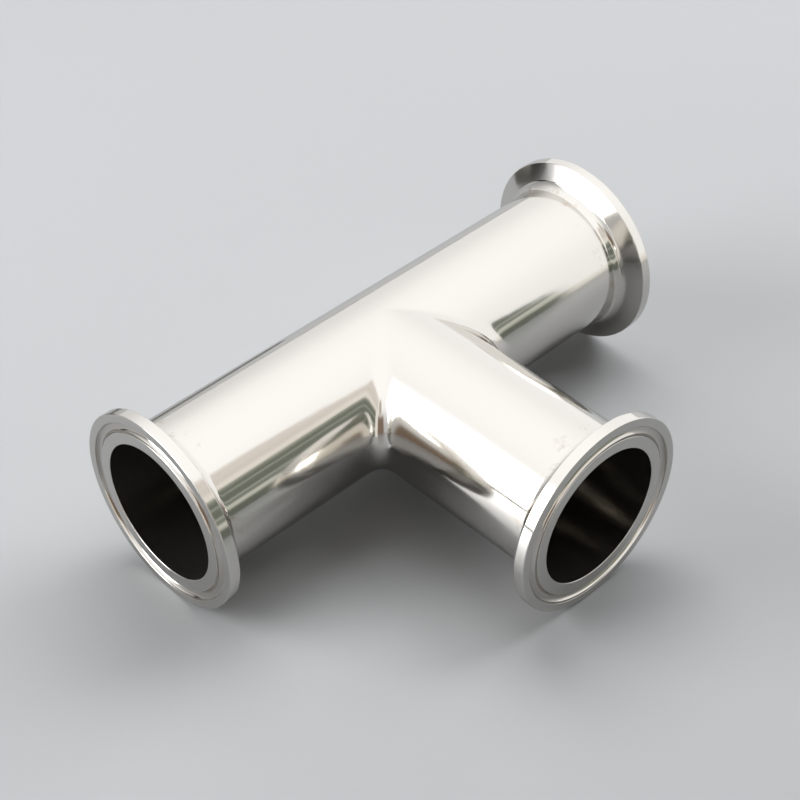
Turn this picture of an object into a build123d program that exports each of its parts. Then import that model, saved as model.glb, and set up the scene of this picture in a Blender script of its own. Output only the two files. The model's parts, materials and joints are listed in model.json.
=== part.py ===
from build123d import *
import math
import os

# Equal tee in polished stainless steel tube with three clamp ferrules.
# The origin is where the centrelines of the run and the branch cross.
# The run lies along X, the branch points along -Y, and +Z is up.
# The tee lies on the rims of its three flanges. All sizes are in millimetres.

# Driving dimensions: 1.5 inch tube and its clamp flange
TUBE_OUTER_DIAMETER = 38.1
WALL = 1.5
CENTRE_TO_FACE = 70.0
FLANGE_DIAMETER = 50.5
FERRULE_LENGTH = 21.5

# Formed crotch between the run and the branch
CROTCH_RADIUS = 5.0
BRANCH_UNDERSIZE = 0.02

# Clamp flange
RIM_THICKNESS = 2.6
RIM_CHAMFER = 0.25
CLAMP_TAPER_DEGREES = 20.0
NECK_FILLET = 3.0

# Gasket groove in the sealing face
GROOVE_PITCH_DIAMETER = 43.6
GROOVE_WIDTH = 2.5
GROOVE_DEPTH = 1.2
BORE_EDGE_BREAK = 0.2

tube_radius = TUBE_OUTER_DIAMETER / 2
bore_radius = tube_radius - WALL
flange_radius = FLANGE_DIAMETER / 2
weld_distance = CENTRE_TO_FACE - FERRULE_LENGTH


def tee_form(radius, crotch_radius):
    """Run and branch as one solid, blended by a ball that rolls round the crotch."""
    run = Cylinder(radius, 2 * weld_distance, rotation=(0, 90, 0))
    branch = Cylinder(
        radius - BRANCH_UNDERSIZE,
        weld_distance,
        rotation=(90, 0, 0),
        align=(Align.CENTER, Align.CENTER, Align.MIN),
    )
    form = run + branch
    plain_edges = (GeomType.CIRCLE, GeomType.LINE)
    crotch_edges = [edge for edge in form.edges() if edge.geom_type not in plain_edges]
    return fillet(crotch_edges, crotch_radius)


def tee_body():
    """The formed tee: a wall of even thickness, so the inside crotch is the rounder one."""
    outside = tee_form(tube_radius, CROTCH_RADIUS)
    inside = tee_form(bore_radius, CROTCH_RADIUS + WALL)
    return outside - inside


def flange_section():
    """Half section of a ferrule, with X as the radius and Y as the distance from its face."""
    chamfer_radius = flange_radius - RIM_CHAMFER
    taper_start = RIM_THICKNESS + RIM_CHAMFER
    taper_drop = (chamfer_radius - tube_radius) * math.tan(math.radians(CLAMP_TAPER_DEGREES))
    outline = Polyline(
        (bore_radius + BORE_EDGE_BREAK, 0),
        (chamfer_radius, 0),
        (flange_radius, RIM_CHAMFER),
        (flange_radius, RIM_THICKNESS),
        (chamfer_radius, taper_start),
        (tube_radius, taper_start + taper_drop),
        (tube_radius, FERRULE_LENGTH),
        (bore_radius, FERRULE_LENGTH),
        (bore_radius, BORE_EDGE_BREAK),
        close=True,
    )
    section = make_face(outline)
    neck_corner = section.vertices().sort_by_distance((tube_radius, taper_start + taper_drop))[0]
    return fillet(neck_corner, NECK_FILLET)


def groove_section():
    """Round-bottomed gasket groove, as deep at its middle as its arc allows."""
    pitch_radius = GROOVE_PITCH_DIAMETER / 2
    inner_edge = (pitch_radius - GROOVE_WIDTH / 2, 0)
    bottom = (pitch_radius, GROOVE_DEPTH)
    outer_edge = (pitch_radius + GROOVE_WIDTH / 2, 0)
    arc = ThreePointArc(inner_edge, bottom, outer_edge)
    return make_face(arc + Line(outer_edge, inner_edge))


def ferrule():
    """Turned clamp ferrule with its sealing face at the origin and its neck along +Z."""
    half_section = Plane.XZ * (flange_section() - groove_section())
    return revolve(half_section, Axis.Z)


def ferrule_at(outward):
    """Ferrule whose sealing face looks along the outward direction."""
    face_centre = Vector(*outward) * CENTRE_TO_FACE
    seat = Plane(origin=face_centre, x_dir=(0, 0, 1), z_dir=-Vector(*outward))
    return seat * ferrule()


nodes = {
    "tee_body": tee_body(),
    "ferrule_run_left": ferrule_at((-1, 0, 0)),
    "ferrule_run_right": ferrule_at((1, 0, 0)),
    "ferrule_branch": ferrule_at((0, -1, 0)),
}

os.makedirs("parts", exist_ok=True)
for name, solid in nodes.items():
    export_step(solid, f"parts/{name}.step")
    print(name, round(solid.volume, 1), solid.is_valid)
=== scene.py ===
# %% [markdown]
# A polished stainless steel tee
#
# The object is a pipe tee for vacuum and process lines: a formed tube body with a turned clamp
# ferrule welded to each of its three ends. It lies on the rims of its flanges on a pale studio
# floor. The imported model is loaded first, because it fixes every size and place in metres.

# %% Load the frame
import json
import math

import bmesh
import bpy
from mathutils import Matrix, Vector

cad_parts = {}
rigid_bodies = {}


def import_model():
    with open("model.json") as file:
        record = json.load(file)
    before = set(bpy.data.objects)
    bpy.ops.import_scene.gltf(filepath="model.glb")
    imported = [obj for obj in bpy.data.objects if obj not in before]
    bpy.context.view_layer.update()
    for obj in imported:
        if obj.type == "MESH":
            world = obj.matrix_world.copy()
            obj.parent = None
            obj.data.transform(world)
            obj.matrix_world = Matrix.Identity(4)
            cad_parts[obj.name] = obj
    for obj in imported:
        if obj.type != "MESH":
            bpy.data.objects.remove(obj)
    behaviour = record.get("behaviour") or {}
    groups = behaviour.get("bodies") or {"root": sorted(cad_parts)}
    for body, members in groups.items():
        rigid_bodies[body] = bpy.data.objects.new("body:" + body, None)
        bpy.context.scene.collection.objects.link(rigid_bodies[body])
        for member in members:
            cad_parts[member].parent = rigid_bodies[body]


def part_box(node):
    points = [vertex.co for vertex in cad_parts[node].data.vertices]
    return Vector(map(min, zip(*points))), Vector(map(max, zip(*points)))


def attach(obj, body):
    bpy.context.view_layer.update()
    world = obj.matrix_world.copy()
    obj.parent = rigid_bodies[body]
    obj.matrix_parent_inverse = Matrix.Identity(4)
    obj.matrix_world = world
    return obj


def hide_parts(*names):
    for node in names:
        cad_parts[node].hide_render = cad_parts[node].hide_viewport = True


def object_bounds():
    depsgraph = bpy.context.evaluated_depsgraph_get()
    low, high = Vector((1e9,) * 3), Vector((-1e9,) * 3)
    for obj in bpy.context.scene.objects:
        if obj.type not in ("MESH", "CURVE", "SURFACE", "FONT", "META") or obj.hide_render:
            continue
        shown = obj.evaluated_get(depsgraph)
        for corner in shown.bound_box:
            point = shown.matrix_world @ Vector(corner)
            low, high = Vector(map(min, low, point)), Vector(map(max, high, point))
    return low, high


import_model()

cad_low, cad_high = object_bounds()
print("CAD box in mm:", [round(1000 * size, 2) for size in cad_high - cad_low])

# %% [markdown]
# Colours are written as sRGB hex, as a colour picker gives them. Shaders work in linear light,
# so one function turns each of them to linear. A second function adds a shader node together
# with its settings and links, which keeps each material short enough to read.

# %% Helpers for colour and nodes
MM = 0.001


def linear(hex_colour):
    """Linear RGBA of an sRGB hex colour."""
    channels = [int(hex_colour[i:i + 2], 16) / 255 for i in (1, 3, 5)]
    return tuple(c / 12.92 if c <= 0.04045 else ((c + 0.055) / 1.055) ** 2.4 for c in channels) + (1.0,)


def add_node(tree, kind, settings=None, links=None):
    """Adds a node; settings name its properties or sockets, links name sockets and what feeds them."""
    node = tree.nodes.new(kind)
    for name, value in (settings or {}).items():
        if isinstance(name, str) and hasattr(node, name):
            setattr(node, name, value)
        else:
            node.inputs[name].default_value = value
    for name, source in (links or {}).items():
        tree.links.new(source, node.inputs[name])
    return node


def new_material(name):
    """An empty node material with its output node."""
    material = bpy.data.materials.new(name)
    material.use_nodes = True
    material.node_tree.nodes.clear()
    output = add_node(material.node_tree, "ShaderNodeOutputMaterial")
    return material, material.node_tree, output


# %% [markdown]
# The sizes of the tee
#
# The tube and the three flanges come in fixed steps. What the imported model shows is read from
# its boxes, and the few sizes inside the profile are the drawing sizes of a clamp ferrule.

# %% Sizes
TUBE_RADIUS = 19.05 * MM
WELD_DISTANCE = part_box("tee_body")[1].x
CENTRE_TO_FACE = cad_high.x
FLANGE_RADIUS = (cad_high.z - cad_low.z) / 2
WALL = 1.5 * MM
BORE_RADIUS = TUBE_RADIUS - WALL
CROTCH_RADIUS = 5.0 * MM
print("tube radius", round(TUBE_RADIUS / MM, 3), "flange radius", round(FLANGE_RADIUS / MM, 3))

# %% [markdown]
# The formed body
#
# The real body is drawn out of one tube: a ball is pulled through the wall, which raises the
# branch and leaves a soft crotch between branch and run. A boolean of two cylinders would give
# a hard seam and a bevel on it would pinch at the top, where the seam fades out. Here the skin
# is a flat grid that is bent: each row of the grid is one generator line along the run, round
# the crotch and out along the branch. On a mirror finish a plain arc shows, because reflections
# bend abruptly where it meets the straight tube. So the bend of each row is a quintic Bezier
# curve: its first three and last three control points lie on the two straight lines, and the
# curvature starts from nothing, as in metal that was stretched over a ball. Its middle is where
# the ball of the crotch radius would be. A mirror and the plain back of the run close the skin.

# %% Skin of the body
AROUND = 256
CROTCH_STEPS = 32
BEND_REACH = 1.56
BEND_CONTROLS = (0.0, 0.4, 0.8)
MERGE = 0.001 * MM


def bend_point(start, corner, end, share):
    """Point at a share of the quintic Bezier curve that leads from start to end round a corner."""
    controls = [start.lerp(corner, reach) for reach in BEND_CONTROLS]
    controls += [end.lerp(corner, reach) for reach in reversed(BEND_CONTROLS)]
    point = Vector()
    for order, control in enumerate(controls):
        point += control * math.comb(5, order) * share ** order * (1 - share) ** (5 - order)
    return point


def skin_point(radius, crotch, angle, column):
    """Point of the front skin at an angle round the tube, from the run end over the crotch."""
    side, height = radius * math.cos(angle), radius * math.sin(angle)
    if column == 0:
        return Vector((WELD_DISTANCE, -side, height))
    if column == CROTCH_STEPS + 2:
        return Vector((side, -WELD_DISTANCE, height))
    corner = Vector((side, -side, height))
    reach = BEND_REACH * crotch * math.cos(angle)
    on_run, on_branch = corner + Vector((reach, 0, 0)), corner - Vector((0, reach, 0))
    return bend_point(on_run, corner, on_branch, (column - 1) / CROTCH_STEPS)


def tee_skin(radius, crotch):
    """Closed skin of run and branch, open only at its three ends."""
    skin = bmesh.new()
    columns = CROTCH_STEPS + 2
    front = bmesh.ops.create_grid(skin, x_segments=columns, y_segments=AROUND // 2, size=0.5)["verts"]
    for vertex in front:
        column = round((vertex.co.x + 0.5) * columns)
        vertex.co = skin_point(radius, crotch, math.pi * vertex.co.y, column)
    back = bmesh.ops.create_grid(skin, x_segments=1, y_segments=AROUND // 2, size=0.5)["verts"]
    for vertex in back:
        angle = math.pi * vertex.co.y
        along = (vertex.co.x + 0.5) * WELD_DISTANCE
        vertex.co = (along, radius * math.cos(angle), radius * math.sin(angle))
    everything = skin.verts[:] + skin.edges[:] + skin.faces[:]
    bmesh.ops.mirror(skin, geom=everything, axis="X", merge_dist=MERGE)
    bmesh.ops.remove_doubles(skin, verts=skin.verts, dist=MERGE)
    bmesh.ops.recalc_face_normals(skin, faces=skin.faces)
    return skin


def as_mesh(shape, name):
    mesh = bpy.data.meshes.new(name)
    shape.to_mesh(mesh)
    shape.free()
    return mesh


# %% [markdown]
# The wall is the space between an outer and an inner skin. Solidify would do, but the real wall
# keeps its thickness round the crotch, so the inner skin is made by the same rule with a bore
# radius and a wider bend. Both are merged into one mesh and their open rings are bridged. Each
# face keeps the number of its zone, because the outside is polished and the bore isn't.

# %% Wall of the body
OUTSIDE, BORE, LAND, GROOVE = range(4)


def set_zone(faces, zone):
    for face in faces:
        face.material_index = zone


def tee_body_mesh():
    body = tee_skin(TUBE_RADIUS, CROTCH_RADIUS)
    bore = tee_skin(BORE_RADIUS, CROTCH_RADIUS + WALL)
    set_zone(bore.faces, BORE)
    bmesh.ops.reverse_faces(bore, faces=bore.faces)
    inside = as_mesh(bore, "bore_skin")
    body.from_mesh(inside)
    bpy.data.meshes.remove(inside)
    ends = ((1, 0, 0), (-1, 0, 0), (0, -1, 0))
    for end in ends:
        ring = [
            edge for edge in body.edges
            if edge.is_boundary and all(v.co.dot(Vector(end)) > WELD_DISTANCE - MERGE for v in edge.verts)
        ]
        bmesh.ops.bridge_loops(body, edges=ring)
    bmesh.ops.recalc_face_normals(body, faces=body.faces)
    open_edges = sum(not edge.is_manifold for edge in body.edges)
    print("tee body:", len(body.faces), "faces,", open_edges, "open edges, volume mm3",
          round(body.calc_volume(signed=True) / MM ** 3, 1))
    return as_mesh(body, "tee_body_shell")


def add_piece(name, mesh, node):
    """Piece at the origin that stands for a CAD node, with smooth faces and true hard edges."""
    piece = bpy.data.objects.new(name, mesh)
    bpy.context.scene.collection.objects.link(piece)
    for face in mesh.polygons:
        face.use_smooth = True
    mesh.set_sharp_from_angle(angle=math.radians(30))
    weighted = piece.modifiers.new("even_shading", "WEIGHTED_NORMAL")
    weighted.keep_sharp = True
    weighted.weight = 100
    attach(piece, "root")
    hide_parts(node)
    return piece


tee = add_piece("tee_body_shell", tee_body_mesh(), "tee_body")

# %% [markdown]
# The clamp ferrules
#
# A real ferrule is turned from bar on a lathe, and a spin is Blender's lathe. Half of the
# section is drawn once as a chain of edges: straight cuts, and arcs that are spins of a single
# vertex. The chain is then spun round the axis. Small rounds stand where the tool broke the
# sharp edges, because those thin rounds are what catches the light on a real flange.

# %% Section of a ferrule
FERRULE_LENGTH = CENTRE_TO_FACE - WELD_DISTANCE
RIM_END = 2.6 * MM
EDGE_ROUND = 0.25 * MM
TAPER = math.radians(20)
NECK_FILLET = 3.0 * MM
GROOVE_PITCH_RADIUS = 21.8 * MM
GROOVE_HALF_WIDTH = 1.25 * MM
GROOVE_DEPTH = 1.2 * MM
GROOVE_EDGE = 0.12 * MM
BORE_EDGE_BREAK = 0.2 * MM


def cut_to(section, vertex, radius, depth):
    """Straight cut from a vertex of the section to a radius and a distance from the face."""
    end = section.verts.new((radius, 0, depth))
    section.edges.new((vertex, end))
    return end


def arc_round(section, vertex, centre, degrees, steps):
    """Arc of a few steps, turned by so many degrees about a centre of the section plane."""
    spun = bmesh.ops.spin(
        section, geom=[vertex], cent=(centre[0], 0, centre[1]), axis=(0, 1, 0), dvec=(0, 0, 0),
        angle=math.radians(degrees), steps=steps, use_merge=False, use_duplicate=False,
    )
    return next(part for part in spun["geom_last"] if isinstance(part, bmesh.types.BMVert))


def ferrule_section():
    section = bmesh.new()
    start = section.verts.new((BORE_RADIUS + BORE_EDGE_BREAK, 0, 0))
    groove_radius = (GROOVE_HALF_WIDTH ** 2 + GROOVE_DEPTH ** 2) / (2 * GROOVE_DEPTH)
    groove_height = GROOVE_DEPTH - groove_radius
    edge_angle = math.acos((GROOVE_EDGE - groove_height) / (groove_radius + GROOVE_EDGE))
    edge_offset = (groove_radius + GROOVE_EDGE) * math.sin(edge_angle)
    edge_turn = math.degrees(edge_angle)
    inner_edge, outer_edge = GROOVE_PITCH_RADIUS - edge_offset, GROOVE_PITCH_RADIUS + edge_offset
    rim = FLANGE_RADIUS - EDGE_ROUND
    neck_depth = RIM_END + EDGE_ROUND + (rim - TUBE_RADIUS) * math.tan(TAPER)
    neck_turn = 90 - math.degrees(TAPER)
    neck_setback = NECK_FILLET * math.tan(math.radians(neck_turn) / 2)
    fillet_start = (TUBE_RADIUS + neck_setback * math.cos(TAPER), neck_depth - neck_setback * math.sin(TAPER))
    tip = cut_to(section, start, inner_edge, 0)
    tip = arc_round(section, tip, (inner_edge, GROOVE_EDGE), -edge_turn, 4)
    tip = arc_round(section, tip, (GROOVE_PITCH_RADIUS, groove_height), 2 * edge_turn, 20)
    tip = arc_round(section, tip, (outer_edge, GROOVE_EDGE), -edge_turn, 4)
    tip = cut_to(section, tip, rim, 0)
    tip = arc_round(section, tip, (rim, EDGE_ROUND), -90, 6)
    tip = cut_to(section, tip, FLANGE_RADIUS, RIM_END)
    tip = arc_round(section, tip, (rim, RIM_END), math.degrees(TAPER) - 90, 5)
    tip = cut_to(section, tip, *fillet_start)
    tip = arc_round(section, tip, (TUBE_RADIUS + NECK_FILLET, neck_depth + neck_setback), neck_turn, 14)
    tip = cut_to(section, tip, TUBE_RADIUS, FERRULE_LENGTH)
    tip = cut_to(section, tip, BORE_RADIUS, FERRULE_LENGTH)
    tip = cut_to(section, tip, BORE_RADIUS, BORE_EDGE_BREAK)
    tip = arc_round(section, tip, (BORE_RADIUS + BORE_EDGE_BREAK, BORE_EDGE_BREAK), -90, 4)
    return section


# %% [markdown]
# One ferrule is spun about Z with its face at the origin, then turned and moved to each end.
# While it still stands on the lathe axis, its faces are sorted by where the tool went, and each
# corner notes its radius and depth in millimetres in a UV map. Tool marks drawn on that map run
# round the axis on all three ferrules, whichever way they point.

# %% Spin and place the ferrules
def sort_by_tool(ferrule):
    """Gives each face its zone, and each corner its radius and depth in mm as UV."""
    lathe_map = ferrule.loops.layers.uv.new("lathe_mm")
    for face in ferrule.faces:
        middle = face.calc_center_median()
        radius = math.hypot(middle.x, middle.y)
        if radius < BORE_RADIUS + 0.1 * BORE_EDGE_BREAK and middle.z > BORE_EDGE_BREAK:
            face.material_index = BORE
        elif middle.z < MERGE:
            face.material_index = LAND
        elif abs(radius - GROOVE_PITCH_RADIUS) < GROOVE_HALF_WIDTH and middle.z < GROOVE_DEPTH:
            face.material_index = GROOVE
        for loop in face.loops:
            place = loop.vert.co
            loop[lathe_map].uv = (math.hypot(place.x, place.y) / MM, place.z / MM)


def ferrule_mesh(name, outward):
    """Ferrule spun from its section, with its sealing face looking along the outward direction."""
    ferrule = ferrule_section()
    bmesh.ops.spin(
        ferrule, geom=ferrule.verts[:] + ferrule.edges[:], cent=(0, 0, 0), axis=(0, 0, 1), dvec=(0, 0, 0),
        angle=2 * math.pi, steps=AROUND, use_merge=True, use_duplicate=False,
    )
    bmesh.ops.remove_doubles(ferrule, verts=ferrule.verts, dist=MERGE)
    bmesh.ops.recalc_face_normals(ferrule, faces=ferrule.faces)
    sort_by_tool(ferrule)
    outward = Vector(outward)
    inward_turn = Vector((0, 0, 1)).rotation_difference(-outward).to_matrix()
    bmesh.ops.rotate(ferrule, verts=ferrule.verts, cent=(0, 0, 0), matrix=inward_turn)
    bmesh.ops.translate(ferrule, verts=ferrule.verts, vec=outward * CENTRE_TO_FACE)
    open_edges = sum(not edge.is_manifold for edge in ferrule.edges)
    print(name, len(ferrule.faces), "faces,", open_edges, "open edges, volume mm3",
          round(ferrule.calc_volume(signed=True) / MM ** 3, 1))
    return as_mesh(ferrule, name)


ENDS = {"ferrule_run_left": (-1, 0, 0), "ferrule_run_right": (1, 0, 0), "ferrule_branch": (0, -1, 0)}
ferrules = {}
for node_name, outward in ENDS.items():
    piece_name = "turned_" + node_name
    ferrules[node_name] = add_piece(piece_name, ferrule_mesh(piece_name, outward), node_name)

# %% [markdown]
# Finishes of the steel
#
# All four pieces are AISI 304 stainless steel, and only the way each surface was made differs.
# The outside is belt ground and then buffed, so it is a mirror, but not a perfect one: the
# draw marks of the tube still lift and drop it by microns, which frays the edges of every
# reflection. One function makes bare steel. Each finish adds its own bumps and marks to it.

# %% Bare steel
def stainless(name, colour, roughness):
    """Stainless steel with its shader, ready for bumps and marks."""
    material, tree, output = new_material(name)
    shader = add_node(tree, "ShaderNodeBsdfPrincipled", {
        "Base Color": linear(colour), "Metallic": 1.0, "Roughness": roughness,
    })
    tree.links.new(shader.outputs["BSDF"], output.inputs["Surface"])
    return material, tree, shader


# %% [markdown]
# Draw marks run along the tube. On the run that is X and on the branch it is Y, so the noise is
# stretched along one or the other, and the share of the branch grows across the crotch. Object
# coordinates are in metres: a scale of 900 puts the marks about 1 mm apart. The real ones are
# finer, but they would be lost in the render.

# %% Buffed tube
DRAW_MARK_SCALE = 900.0
DRAW_MARK_STRETCH = 0.03
DRAW_MARK_HEIGHT = 0.009 * MM
WAVE_SCALE = 110.0
WAVE_HEIGHT = 0.045 * MM


def buffed_tube():
    material, tree, shader = stainless("buffed_304_tube", "#DCD9D4", 0.11)
    place = add_node(tree, "ShaderNodeTexCoord").outputs["Object"]
    axes = add_node(tree, "ShaderNodeSeparateXYZ", links={"Vector": place})
    beside = add_node(tree, "ShaderNodeMath", {"operation": "ABSOLUTE"}, {0: axes.outputs["X"]})
    ahead = add_node(tree, "ShaderNodeMath", {"operation": "ADD"}, {0: axes.outputs["Y"], 1: beside.outputs[0]})
    on_branch = add_node(
        tree, "ShaderNodeMapRange", {"From Min": 3 * MM, "From Max": -3 * MM}, {"Value": ahead.outputs[0]},
    )
    along, across = DRAW_MARK_SCALE * DRAW_MARK_STRETCH, DRAW_MARK_SCALE
    run_marks = add_node(tree, "ShaderNodeVectorMath", {"operation": "MULTIPLY", 1: (along, across, across)}, {0: place})
    branch_marks = add_node(tree, "ShaderNodeVectorMath", {"operation": "MULTIPLY", 1: (across, along, across)}, {0: place})
    run_marks = add_node(tree, "ShaderNodeTexNoise", {"Scale": 1.0, "Detail": 2.0}, {"Vector": run_marks.outputs[0]})
    branch_marks = add_node(tree, "ShaderNodeTexNoise", {"Scale": 1.0, "Detail": 2.0}, {"Vector": branch_marks.outputs[0]})
    marks = add_node(tree, "ShaderNodeMix", {"data_type": "FLOAT"}, {
        0: on_branch.outputs[0], 2: run_marks.outputs[0], 3: branch_marks.outputs[0],
    })
    waves = add_node(tree, "ShaderNodeTexNoise", {"Scale": WAVE_SCALE, "Detail": 1.0}, {"Vector": place})
    wavy = add_node(tree, "ShaderNodeBump", {"Distance": WAVE_HEIGHT}, {"Height": waves.outputs[0]})
    marked = add_node(tree, "ShaderNodeBump", {"Distance": DRAW_MARK_HEIGHT}, {
        "Height": marks.outputs[0], "Normal": wavy.outputs[0],
    })
    tree.links.new(marked.outputs[0], shader.inputs["Normal"])
    return material


# %% [markdown]
# The rim, taper and neck of a ferrule are turned and then buffed, so their faint marks are
# rings. The UV map holds radius and depth, and noise on that map makes rings by itself. Behind
# the flange the buffing wheel doesn't reach well. There the welding heat left a straw tint in
# small blotches, and there are a few pits.

# %% Buffed ferrule
RING_SCALE = 1.4
RING_HEIGHT = 0.0012 * MM
TINT_SCALE = 230.0
PIT_SCALE = 260.0
PIT_RADIUS = 0.09


def buffed_ferrule():
    material, tree, shader = stainless("buffed_304_ferrule", "#DCD9D4", 0.1)
    place = add_node(tree, "ShaderNodeTexCoord").outputs["Object"]
    lathe = add_node(tree, "ShaderNodeUVMap", {"uv_map": "lathe_mm"})
    rings = add_node(tree, "ShaderNodeTexNoise", {"Scale": RING_SCALE, "Detail": 2.0}, {"Vector": lathe.outputs["UV"]})
    ringed = add_node(tree, "ShaderNodeBump", {"Distance": RING_HEIGHT}, {"Height": rings.outputs[0]})
    tree.links.new(ringed.outputs[0], shader.inputs["Normal"])

    depth = add_node(tree, "ShaderNodeSeparateXYZ", links={"Vector": lathe.outputs["UV"]})
    near_flange = add_node(
        tree, "ShaderNodeMapRange",
        {"From Min": 14.0, "From Max": 6.0, "interpolation_type": "SMOOTHSTEP"}, {"Value": depth.outputs["Y"]},
    )
    on_neck = add_node(tree, "ShaderNodeMapRange", {"From Min": 20.0, "From Max": 19.3}, {"Value": depth.outputs["X"]})
    behind_flange = add_node(
        tree, "ShaderNodeMath", {"operation": "MULTIPLY"}, {0: near_flange.outputs[0], 1: on_neck.outputs[0]},
    )
    blotches = add_node(
        tree, "ShaderNodeTexNoise", {"Scale": TINT_SCALE, "Detail": 5.0, "Roughness": 0.65}, {"Vector": place},
    )
    blotches = add_node(tree, "ShaderNodeMapRange", {"From Min": 0.56, "From Max": 0.68}, {"Value": blotches.outputs[0]})
    tint = add_node(
        tree, "ShaderNodeMath", {"operation": "MULTIPLY"}, {0: blotches.outputs[0], 1: behind_flange.outputs[0]},
    )
    tint = add_node(tree, "ShaderNodeMath", {"operation": "MULTIPLY", 1: 0.5}, {0: tint.outputs[0]})
    tinted = add_node(tree, "ShaderNodeMix", {
        "data_type": "RGBA", 6: linear("#DCD9D4"), 7: linear("#B8A48C"),
    }, {0: tint.outputs[0]})
    pits = add_node(tree, "ShaderNodeTexVoronoi", {"Scale": PIT_SCALE}, {"Vector": place})
    pits_here = add_node(tree, "ShaderNodeSeparateColor", links={"Color": pits.outputs["Color"]})
    pits_here = add_node(tree, "ShaderNodeMath", {"operation": "GREATER_THAN", 1: 0.86}, {0: pits_here.outputs[0]})
    pitted = add_node(
        tree, "ShaderNodeMapRange", {"From Min": PIT_RADIUS, "From Max": 0.6 * PIT_RADIUS}, {"Value": pits.outputs["Distance"]},
    )
    pitted = add_node(tree, "ShaderNodeMath", {"operation": "MULTIPLY"}, {0: pitted.outputs[0], 1: pits_here.outputs[0]})
    pitted = add_node(tree, "ShaderNodeMath", {"operation": "MULTIPLY"}, {0: pitted.outputs[0], 1: behind_flange.outputs[0]})
    colour = add_node(tree, "ShaderNodeMix", {"data_type": "RGBA", 7: linear("#6E675C")}, {
        0: pitted.outputs[0], 6: tinted.outputs[2],
    })
    tree.links.new(colour.outputs[2], shader.inputs["Base Color"])
    dull = add_node(tree, "ShaderNodeMapRange", {"To Min": 0.1, "To Max": 0.2}, {"Value": tint.outputs[0]})
    tree.links.new(dull.outputs[0], shader.inputs["Roughness"])
    return material


# %% [markdown]
# The sealing face is left as the facing tool cuts it, because a mirror wouldn't seal better: a
# satin grey with fine rings. The real feed is about 0.1 mm a turn. It is drawn five times as
# coarse, so that it can be seen. The bore is only pickled, which leaves a darker matt grey.

# %% Faced land and pickled bore
TOOL_MARK_SCALE = 2.0
TOOL_MARK_HEIGHT = 0.004 * MM


def faced_land():
    material, tree, shader = stainless("faced_304_land", "#D2D0CC", 0.18)
    lathe = add_node(tree, "ShaderNodeUVMap", {"uv_map": "lathe_mm"})
    cuts = add_node(tree, "ShaderNodeTexNoise", {"Scale": TOOL_MARK_SCALE, "Detail": 1.0}, {"Vector": lathe.outputs["UV"]})
    cut = add_node(tree, "ShaderNodeBump", {"Distance": TOOL_MARK_HEIGHT}, {"Height": cuts.outputs[0]})
    tree.links.new(cut.outputs[0], shader.inputs["Normal"])
    return material


def turned_groove():
    material, tree, shader = stainless("turned_304_groove", "#CDC9C3", 0.08)
    lathe = add_node(tree, "ShaderNodeUVMap", {"uv_map": "lathe_mm"})
    cuts = add_node(tree, "ShaderNodeTexNoise", {"Scale": TOOL_MARK_SCALE, "Detail": 1.0}, {"Vector": lathe.outputs["UV"]})
    dulled = add_node(tree, "ShaderNodeMapRange", {"To Min": 0.04, "To Max": 0.12}, {"Value": cuts.outputs[0]})
    tree.links.new(dulled.outputs[0], shader.inputs["Roughness"])
    return material


def pickled_bore():
    material, tree, shader = stainless("pickled_304_bore", "#9A968F", 0.15)
    shader.inputs["Metallic"].default_value = 0.93
    place = add_node(tree, "ShaderNodeTexCoord").outputs["Object"]
    patches = add_node(tree, "ShaderNodeTexNoise", {"Scale": 60.0, "Detail": 3.0}, {"Vector": place})
    etched = add_node(tree, "ShaderNodeMapRange", {"To Min": 0.1, "To Max": 0.2}, {"Value": patches.outputs[0]})
    tree.links.new(etched.outputs[0], shader.inputs["Roughness"])
    return material


tube_finishes = (buffed_tube(), pickled_bore())
ferrule_finishes = (buffed_ferrule(), tube_finishes[1], faced_land(), turned_groove())
for finish in tube_finishes:
    tee.data.materials.append(finish)
for ferrule in ferrules.values():
    for finish in ferrule_finishes:
        ferrule.data.materials.append(finish)
print("finishes:", [finish.name for finish in bpy.data.materials if finish.users])

# %% [markdown]
# The floor is a sheet of satin grey card. Seen from above it is plain and matt, and the camera
# sees it so. At a low angle it shows a soft reflection of the window. Only the steel looks at it
# that low, so only its rays get the satin shader. That satin copy is painted a darker grey than
# the matt one: painted shade in the floor that the steel mirrors. The lamps light a table top and
# no more, so for the camera the sheet turns into the pale backdrop with distance, as a studio
# sweep does.

# %% Floor
FLOOR_LEVEL = cad_low.z
FLOOR_SIZE = 4.0
BACKDROP = "#CFD1D3"
FADE_START, FADE_END = 0.3, 1.0


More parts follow.
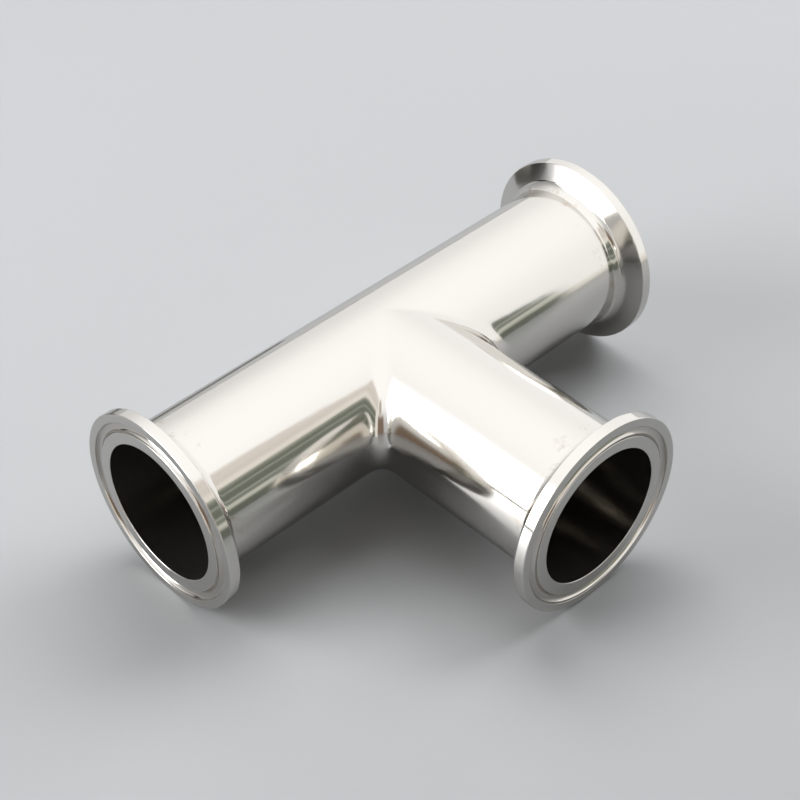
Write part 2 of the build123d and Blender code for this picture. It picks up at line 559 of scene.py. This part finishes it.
def studio_floor():
    plane = bmesh.new()
    bmesh.ops.create_grid(plane, x_segments=1, y_segments=1, size=FLOOR_SIZE / 2)
    bmesh.ops.translate(plane, verts=plane.verts, vec=(0, 0, FLOOR_LEVEL))
    floor = bpy.data.objects.new("studio_floor", as_mesh(plane, "studio_floor"))
    bpy.context.scene.collection.objects.link(floor)
    material, tree, output = new_material("satin_grey_card_painted_shade_for_steel")
    # The satin copy that only the steel sees is painted darker than the matt grey, as painted shade.
    shader = add_node(tree, "ShaderNodeBsdfPrincipled", {
        "Base Color": linear("#A4A6A8"),
        "Roughness": 0.3,
        "Specular IOR Level": 0.4,
    })
    matt = add_node(tree, "ShaderNodeBsdfDiffuse", {"Color": linear("#C2C4C6")})
    place = add_node(tree, "ShaderNodeTexCoord").outputs["Object"]
    distance = add_node(tree, "ShaderNodeVectorMath", {"operation": "LENGTH"}, {0: place})
    far_off = add_node(tree, "ShaderNodeMapRange", {
        "interpolation_type": "SMOOTHSTEP", "From Min": FADE_START, "From Max": FADE_END,
    }, {"Value": distance.outputs["Value"]})
    backdrop = add_node(tree, "ShaderNodeEmission", {"Color": linear(BACKDROP)})
    matt = add_node(tree, "ShaderNodeMixShader", links={
        0: far_off.outputs[0], 1: matt.outputs[0], 2: backdrop.outputs[0],
    })
    rays = add_node(tree, "ShaderNodeLightPath")
    sheet = add_node(tree, "ShaderNodeMixShader", links={
        0: rays.outputs["Is Camera Ray"], 1: shader.outputs["BSDF"], 2: matt.outputs[0],
    })
    tree.links.new(sheet.outputs[0], output.inputs["Surface"])
    floor.data.materials.append(material)


studio_floor()

# %% [markdown]
# The room that the steel mirrors
#
# A polished tube is a mirror, so most of what the photograph shows on it is the room. The room
# is drawn in the world shader by direction: elevation above the floor and azimuth round the
# object, both in degrees. Low down it shows the walls, which differ from side to side. Higher
# up they give way to a bright ceiling. Only glossy rays see the room. Matt surfaces are lit by
# a plain even world and three softboxes, so every colour renders about as it is written.

# %% Walls and ceiling
BRIGHTEST_WALL = 1.3
WALLS = (
    (-180, 0.70), (-150, 0.62), (-133, 0.60), (-118, 0.85), (-100, 0.95), (-62, 1.12), (-50, 1.20),
    (30, 1.22), (60, 1.00), (80, 0.64), (98, 0.52), (110, 0.45), (138, 0.45), (179, 0.60), (180, 0.70),
)
CEILING_LOW, CEILING_HIGH = 1.23, 1.38


def world_directions(tree):
    """Azimuth and elevation in degrees of the direction that a ray looks in."""
    direction = add_node(tree, "ShaderNodeTexCoord").outputs["Generated"]
    axes = add_node(tree, "ShaderNodeSeparateXYZ", links={"Vector": direction})
    azimuth = add_node(tree, "ShaderNodeMath", {"operation": "ARCTAN2"}, {0: axes.outputs["Y"], 1: axes.outputs["X"]})
    elevation = add_node(tree, "ShaderNodeMath", {"operation": "ARCSINE"}, {0: axes.outputs["Z"]})
    return [
        add_node(tree, "ShaderNodeMath", {"operation": "DEGREES"}, {0: angle.outputs[0]}).outputs[0]
        for angle in (azimuth, elevation)
    ]


def set_stops(ramp, stops):
    """Sets the stops of a colour ramp, each a position and a linear colour."""
    elements = ramp.color_ramp.elements
    while len(elements) < len(stops):
        elements.new(1.0)
    for element, (position, colour) in zip(elements, stops):
        element.position = position
        element.color = colour


def walls_and_ceiling(tree, azimuth, elevation):
    turn = add_node(tree, "ShaderNodeMapRange", {"From Min": -180.0, "From Max": 180.0}, {"Value": azimuth})
    walls = add_node(tree, "ShaderNodeValToRGB", links={"Fac": turn.outputs[0]})
    set_stops(walls, [((at + 180) / 360, (light / BRIGHTEST_WALL,) * 3 + (1.0,)) for at, light in WALLS])
    walls = add_node(tree, "ShaderNodeVectorMath", {"operation": "SCALE", "Scale": BRIGHTEST_WALL}, {0: walls.outputs[0]})
    ceiling = add_node(tree, "ShaderNodeMapRange", {
        "interpolation_type": "SMOOTHSTEP", "From Min": 20.0, "From Max": 66.0,
        "To Min": CEILING_LOW, "To Max": CEILING_HIGH,
    }, {"Value": elevation})
    height = add_node(tree, "ShaderNodeMapRange", {
        "interpolation_type": "SMOOTHSTEP", "From Min": 6.0, "From Max": 44.0,
    }, {"Value": elevation})
    return add_node(tree, "ShaderNodeMix", {"data_type": "RGBA"}, {
        0: height.outputs[0], 6: walls.outputs[0], 7: ceiling.outputs[0],
    }).outputs[2]


# %% [markdown]
# What stands far off in the room is a list of soft-edged panels. Each is laid over the walls
# where the product of four smooth steps, one for each of its edges, is 1.

# %% Panels
PANELS = (
    # azimuths, elevations, soft edge, colour, light
    ((-143, -123), (33, 52), 8, "#C4B9AC", 1.1),     # camera
    ((-156, -84), (-12, 30), 12, "#A6917F", 0.7),    # wooden door
    ((139, 178), (-6, 41), 6, "#FFFFFF", 7.0),       # window
    ((134, 182), (-4.0, 2.5), 1.0, "#4A4A38", 0.5),  # sill
)


def lay_over(tree, room, colour, light, masks):
    """Lays a colour over the room where all the masks are 1."""
    share = masks[0]
    for mask in masks[1:]:
        share = add_node(tree, "ShaderNodeMath", {"operation": "MULTIPLY"}, {0: share, 1: mask}).outputs[0]
    lit = add_node(tree, "ShaderNodeVectorMath", {"operation": "SCALE", 0: linear(colour)[:3], "Scale": light})
    return add_node(tree, "ShaderNodeMix", {"data_type": "RGBA"}, {0: share, 6: room, 7: lit.outputs[0]}).outputs[2]


def edge_masks(tree, angle, span, soft):
    """Smooth steps up at the start of a span of degrees and down at its end."""
    return [
        add_node(tree, "ShaderNodeMapRange", {
            "interpolation_type": "SMOOTHSTEP", "From Min": edge - side * soft / 2, "From Max": edge + side * soft / 2,
        }, {"Value": angle}).outputs[0]
        for edge, side in zip(span, (1, -1))
    ]


# %% [markdown]
# The world gives each kind of ray its own picture. Glossy rays get the room, camera rays a
# plain pale backdrop, and all others an even grey light that fills the shadows.

# %% Room
def studio_world():
    world = bpy.data.worlds.new("studio")
    world.use_nodes = True
    tree = world.node_tree
    tree.nodes.clear()
    output = add_node(tree, "ShaderNodeOutputWorld")
    azimuth, elevation = world_directions(tree)
    room = walls_and_ceiling(tree, azimuth, elevation)
    for azimuths, elevations, soft, colour, light in PANELS:
        masks = edge_masks(tree, azimuth, azimuths, soft) + edge_masks(tree, elevation, elevations, soft)
        room = lay_over(tree, room, colour, light, masks)
    mirrored = add_node(tree, "ShaderNodeBackground", links={"Color": room})
    fill = add_node(tree, "ShaderNodeBackground", {"Color": linear("#F0F0F0"), "Strength": 0.08})
    backdrop = add_node(tree, "ShaderNodeBackground", {"Color": linear(BACKDROP)})
    rays = add_node(tree, "ShaderNodeLightPath")
    seen = add_node(tree, "ShaderNodeMixShader", links={
        0: rays.outputs["Is Glossy Ray"], 1: fill.outputs[0], 2: mirrored.outputs[0],
    })
    seen = add_node(tree, "ShaderNodeMixShader", links={
        0: rays.outputs["Is Camera Ray"], 1: seen.outputs[0], 2: backdrop.outputs[0],
    })
    tree.links.new(seen.outputs[0], output.inputs["Surface"])
    bpy.context.scene.world = world
    print("room drawn with", len(tree.nodes), "nodes")


studio_world()

# %% [markdown]
# The camera
#
# Its place comes from the same solution that gave the size: edge points of the rims, bores and
# tube outlines fit one camera to within about a pixel.

# %% Camera
CAMERA_TARGET = Vector((-5.08, -10.83, 0.0)) * MM
CAMERA_DISTANCE = 427.5 * MM
CAMERA_AZIMUTH = math.radians(-43.42)
CAMERA_ELEVATION = math.radians(42.24)
CAMERA_ROLL = math.radians(-0.69)
FOCAL_PIXELS = 1784.7
IMAGE_PIXELS = 800
SENSOR_WIDTH = 36.0


def studio_camera():
    back = Vector((
        math.sin(CAMERA_AZIMUTH) * math.cos(CAMERA_ELEVATION),
        -math.cos(CAMERA_AZIMUTH) * math.cos(CAMERA_ELEVATION),
        math.sin(CAMERA_ELEVATION),
    ))
    data = bpy.data.cameras.new("camera")
    data.sensor_width = SENSOR_WIDTH
    data.lens = FOCAL_PIXELS / IMAGE_PIXELS * SENSOR_WIDTH
    data.clip_start = 0.01
    camera = bpy.data.objects.new("camera", data)
    place = Matrix.Translation(CAMERA_TARGET + back * CAMERA_DISTANCE)
    turn = back.to_track_quat("Z", "Y").to_matrix().to_4x4()
    camera.matrix_world = place @ turn @ Matrix.Rotation(CAMERA_ROLL, 4, "Z")
    bpy.context.scene.collection.objects.link(camera)
    bpy.context.scene.camera = camera


studio_camera()

# %% [markdown]
# Things that stand close by
#
# A world shader is infinitely far away, so it can't show what stands beside the tee: such a
# thing shifts along the tube as the eye moves along it. These are real cards in the scene. Only
# glossy rays see them, so they neither show nor cast shadows. A black flag behind the run gives
# the far flange its dark edge, as photographers do with shiny objects. A dark bench with a pale
# rail, and a cream screen behind it, stand at the right and make the green and cream bands on
# the front of the run. Their light is coloured by height with a ramp on the card's own Z.

# %% Cards that only the steel sees
def mirrored_card(name, corners, light, stops):
    """Flat card through corners in mm, that glows by height: stops are heights in mm and colours."""
    card = bmesh.new()
    edge = [card.verts.new(Vector(corner) * MM) for corner in corners]
    bmesh.ops.contextual_create(card, geom=edge)
    screen = bpy.data.objects.new(name, as_mesh(card, name))
    bpy.context.scene.collection.objects.link(screen)
    screen.visible_camera = screen.visible_diffuse = screen.visible_shadow = False
    material, tree, output = new_material(name)
    place = add_node(tree, "ShaderNodeTexCoord").outputs["Object"]
    height = add_node(tree, "ShaderNodeSeparateXYZ", links={"Vector": place})
    low, high = stops[0][0] * MM, stops[-1][0] * MM
    share = add_node(tree, "ShaderNodeMapRange", {"From Min": low, "From Max": high}, {"Value": height.outputs["Z"]})
    stripes = add_node(tree, "ShaderNodeValToRGB", links={"Fac": share.outputs[0]})
    set_stops(stripes, [((at * MM - low) / (high - low), linear(colour)) for at, colour in stops])
    glow = add_node(tree, "ShaderNodeEmission", {"Strength": light}, {"Color": stripes.outputs[0]})
    tree.links.new(glow.outputs[0], output.inputs["Surface"])
    screen.data.materials.append(material)


FOOT = FLOOR_LEVEL / MM
mirrored_card("black_flag", [(-19, 140, FOOT), (-195, 280, FOOT), (-195, 280, 15), (-19, 140, 15)], 0.5, (
    (-25, "#4A4944"), (15, "#6A6862"),
))
mirrored_card("grey_flag", [(30, 101, FOOT), (-19, 140, FOOT), (-19, 140, 0), (30, 101, -12)], 1.0, (
    (-25, "#4E4D48"), (-18, "#5A5954"), (-15, "#A3A39E"), (0, "#ABABA6"),
))
mirrored_card("dark_bench", [
    (-60, -205, FOOT), (186, -205, FOOT), (188, -205, 0), (180, -205, 55), (150, -205, 105), (100, -205, 132),
    (-60, -205, 140),
], 1.5, (
    (-25, "#5A5E56"), (6, "#565A52"), (14, "#A9ABA0"), (26, "#BBBDB4"), (34, "#666A62"), (44, "#6C7068"),
    (50, "#A2A69C"), (56, "#5E625A"), (84, "#646860"), (92, "#94988E"), (100, "#585C54"), (122, "#787C72"),
    (140, "#B4B4A8"),
))
mirrored_card("pale_skirting", [(187, -206, FOOT), (440, -206, FOOT), (440, -206, 12), (187, -206, 12)], 1.3, (
    (-25, "#BDBAB4"), (-12, "#DEDBD5"), (12, "#F4F2EE"),
))
mirrored_card("cream_screen", [
    (-120, -215, FOOT), (120, -215, FOOT), (150, -215, 200), (120, -215, 330), (-120, -215, 330),
], 1.3, (
    (-25, "#E1DDD4"), (140, "#E8E4DC"), (165, "#E4DFD7"), (190, "#D4CDC5"), (230, "#D9D3CD"), (275, "#D8D1CB"),
    (300, "#E4DFDA"), (330, "#FBF9F6"),
))

# %% [markdown]
# Light for the matt floor
#
# Three softboxes throw the soft shadows: one stands at the window, one hangs overhead, and one
# stands at the right. Their places and powers were fitted to the tones of the floor and its
# shadows. Glossy rays don't see them, because the drawn room is what the steel mirrors.

# %% Light
def softbox(name, place, aim, width, height, power):
    data = bpy.data.lights.new(name, "AREA")
    data.shape = "RECTANGLE"
    data.size = width
    data.size_y = height
    data.energy = power
    lamp = bpy.data.objects.new(name, data)
    lamp.location = place
    lamp.rotation_mode = "QUATERNION"
    lamp.rotation_quaternion = (Vector(place) - Vector(aim)).to_track_quat("Z", "Y")
    lamp.visible_glossy = False
    bpy.context.scene.collection.objects.link(lamp)


softbox("window_softbox", (-0.55, 0.38, 0.34), (0, 0, 0), 0.5, 0.4, 3.9)
softbox("overhead_softbox", (0.2, 0.3, 0.8), (0, 0, 0), 0.6, 0.6, 4.2)
softbox("right_softbox", (0.6, -0.1, 0.6), (0, 0, 0), 0.6, 0.6, 4.1)

# %% View transform
bpy.context.scene.view_settings.view_transform = "Standard"
